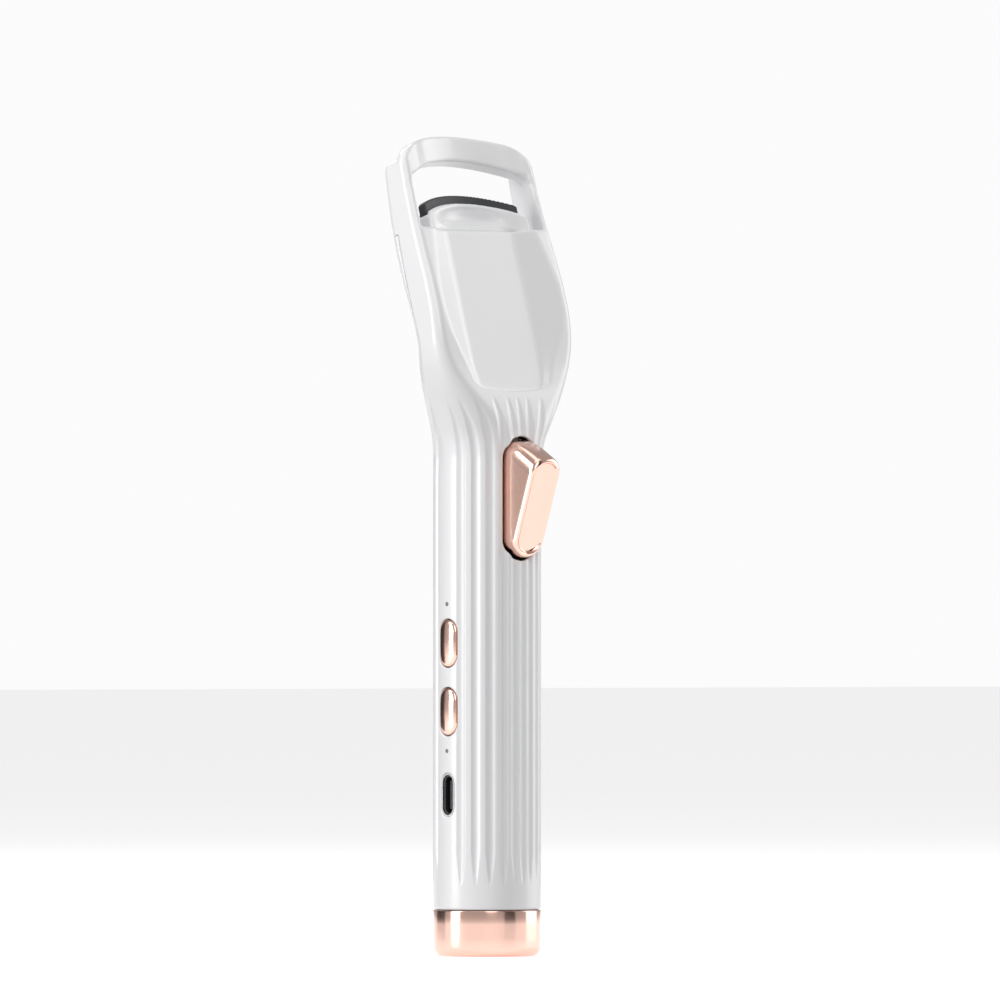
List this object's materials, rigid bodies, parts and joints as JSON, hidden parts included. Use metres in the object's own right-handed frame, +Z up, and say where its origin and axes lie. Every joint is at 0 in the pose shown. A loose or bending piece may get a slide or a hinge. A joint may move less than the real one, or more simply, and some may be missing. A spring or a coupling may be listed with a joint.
{
  "type": "heated eyelash curler",
  "caption": "Slim heated eyelash curler: fluted white handle, leaning head frame with a crossbar, and a trigger that slides a heated dark strip up to the bar.",
  "frame": {"origin": "centre of the base cap's flat bottom face, on the handle's axis", "axes": "+Z up the handle, -Y towards the face side with the trigger and panel, -X towards the buttons and charging port; the head leans back towards +Y"},
  "size_m": [0.04, 0.0365, 0.178],
  "materials": {
    "white_shell": "satin gloss injection-moulded white",
    "white_inner": "satin moulded white",
    "rose_metal": "polished rose-gold plating",
    "steel": "ground steel",
    "battery_wrap": "shrink sleeve",
    "board_green": "solder mask",
    "black_plastic": "matt black moulding",
    "clear_lens": "translucent smoked lens",
    "lead_red": "lead insulation",
    "black_silicone": "matt silicone",
    "heater_metal": "anodised plate",
    "flex_amber": "polyimide film"
  },
  "bodies": {
    "housing": {"front_shell": "white_shell", "crossbar": "white_shell", "rear_cover": "white_shell", "end_plug": "white_inner", "base_cap": "rose_metal", "battery": "battery_wrap", "circuit_board": "board_green", "board_screws": "steel", "control_chips": "black_plastic", "tact_switches": "steel", "indicator_leds": "clear_lens", "indicator_lenses": "clear_lens", "usb_c_shell": "steel", "usb_c_tongue": "black_plastic", "battery_leads": "lead_red", "trigger_hinge_pin": "steel", "trigger_spring": "steel"},
    "trigger": {"trigger": "rose_metal", "trigger_drive_pin": "steel"},
    "jaw": {"carriage": "white_inner", "pad_holder": "white_shell", "holder_screws": "steel", "heater_plate": "heater_metal", "lash_strip": "black_silicone", "temperature_sensor": "black_plastic", "heater_leads": "flex_amber"},
    "power_button": {"power_button": "rose_metal"},
    "mode_button": {"mode_button": "rose_metal"}
  },
  "joints": [
    {"name": "trigger_pivot", "type": "hinge", "parent": "housing", "child": "trigger", "pos_m": [0, -0.006, 0.0885], "axis": [-1, 0, 0], "range_deg": [0, 16], "stiffness_Nm_per_rad": 0.12, "springref_deg": -8.59},
    {"name": "jaw_slide", "type": "slide", "parent": "housing", "child": "jaw", "axis": [0, 0.2924, 0.9563], "range_m": [0, 0.0073]},
    {"name": "power_button_press", "type": "slide", "parent": "housing", "child": "power_button", "axis": [1, 0, 0], "range_m": [0, 0.0005], "stiffness_N_per_m": 800, "springref_m": -0.0003},
    {"name": "mode_button_press", "type": "slide", "parent": "housing", "child": "mode_button", "axis": [1, 0, 0], "range_m": [0, 0.0005], "stiffness_N_per_m": 800, "springref_m": -0.0003}
  ],
  "couplings": [
    {"joint": "trigger_pivot", "follows": "jaw_slide", "rad_per_m": 38.253}
  ]
}
